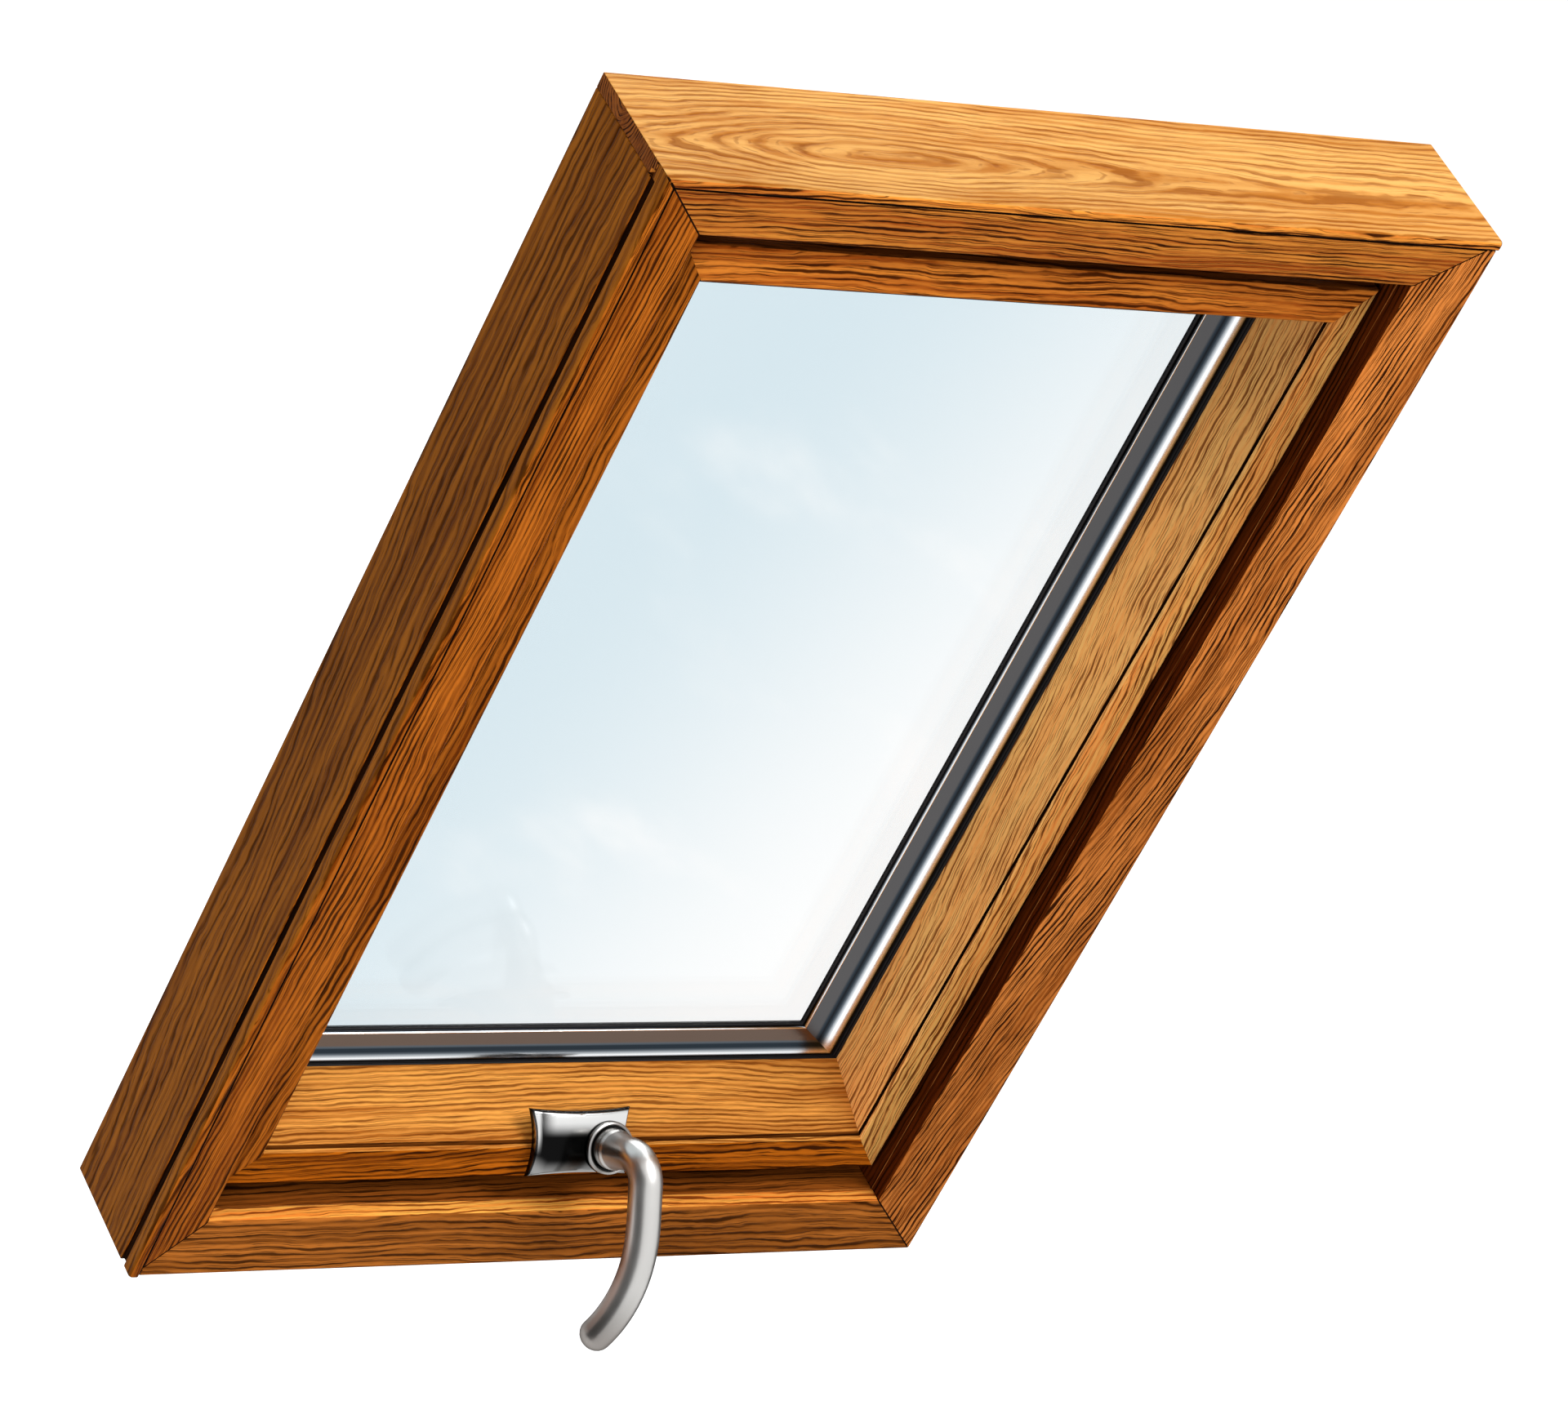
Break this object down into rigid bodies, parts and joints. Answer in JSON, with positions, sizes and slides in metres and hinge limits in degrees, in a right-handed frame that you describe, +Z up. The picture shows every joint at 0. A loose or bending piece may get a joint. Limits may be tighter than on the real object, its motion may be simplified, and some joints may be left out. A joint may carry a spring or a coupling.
{
  "type": "wooden roof window",
  "caption": "Timber roof window for a pitched roof, with a closed sash, sealed glazing clamped by dark metal beads and a curved lever handle on the bottom rail.",
  "frame": {"origin": "centre of the frame's flat bottom face", "axes": "+X from left to right seen from the room, +Y from the room to the outside, +Z up along the roof slope"},
  "size_m": [0.66, 0.2105, 0.98],
  "materials": {
    "oak": "satin lacquered oak",
    "bead_metal": "glossy dark anodised",
    "cover_metal": "matt grey powder coat",
    "spacer_metal": "satin",
    "rubber": "satin black",
    "glass": "clear",
    "hinge_steel": "zinc plated",
    "chrome": "polished",
    "handle_cast": "satin black casting",
    "handle_metal": "satin nickel"
  },
  "bodies": {
    "window": {"frame_top_rail": "oak", "frame_bottom_rail": "oak", "frame_left_stile": "oak", "frame_right_stile": "oak", "facing_top": "oak", "facing_bottom": "oak", "facing_left": "oak", "facing_right": "oak", "sash_top_rail": "oak", "sash_bottom_rail": "oak", "sash_left_stile": "oak", "sash_right_stile": "oak", "glazing_bead_top": "bead_metal", "glazing_bead_bottom": "bead_metal", "glazing_bead_left": "bead_metal", "glazing_bead_right": "bead_metal", "sash_cover_top": "cover_metal", "sash_cover_bottom": "cover_metal", "sash_cover_left": "cover_metal", "sash_cover_right": "cover_metal", "frame_cover_top": "cover_metal", "frame_cover_bottom": "cover_metal", "frame_cover_left": "cover_metal", "frame_cover_right": "cover_metal", "weather_seal": "rubber", "glazing_gasket": "rubber", "inner_gasket": "rubber", "glass_inner_pane": "glass", "glass_outer_pane": "glass", "glass_spacer": "spacer_metal", "hinge_left": "hinge_steel", "hinge_right": "hinge_steel", "handle_plate": "chrome", "handle_saddle": "handle_cast", "handle_collar": "chrome"},
    "handle": {"handle_lever": "handle_metal"}
  },
  "joints": [
    {"name": "handle_turn", "type": "hinge", "parent": "window", "child": "handle", "pos_m": [0.024, -0.0366, 0.10356], "axis": [0, -0.7986, 0.6018], "range_deg": [0, 90]}
  ]
}
